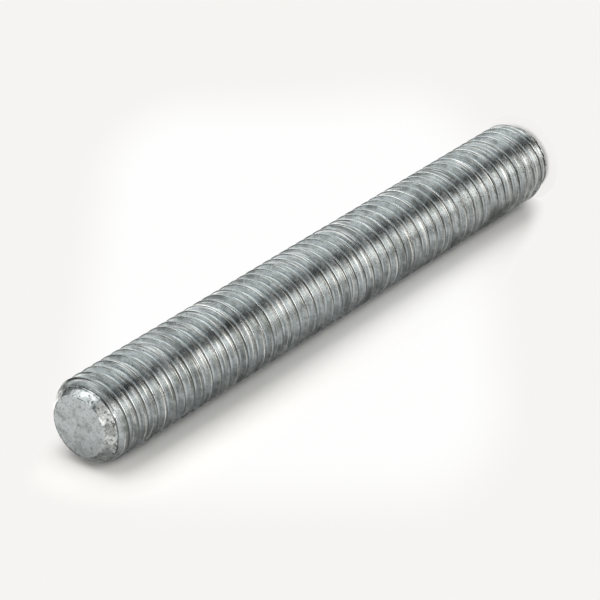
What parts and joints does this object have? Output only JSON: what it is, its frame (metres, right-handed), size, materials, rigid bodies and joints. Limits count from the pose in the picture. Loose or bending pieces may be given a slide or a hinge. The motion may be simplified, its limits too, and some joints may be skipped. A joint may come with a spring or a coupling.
{
  "type": "threaded rod",
  "caption": "Straight galvanised steel rod with a coarse right-hand screw thread over its whole length and a chamfered flat face at each end.",
  "frame": {"origin": "centre of the lower end face, on the rod's axis", "axes": "+Z along the rod, from the end face it stands on to the other one; X and Y run across the round rod"},
  "size_m": [0.01, 0.01, 0.08],
  "materials": {
    "zinc_coated_steel": "satin"
  },
  "bodies": {
    "root": {"threaded_rod": "zinc_coated_steel"}
  },
  "joints": []
}
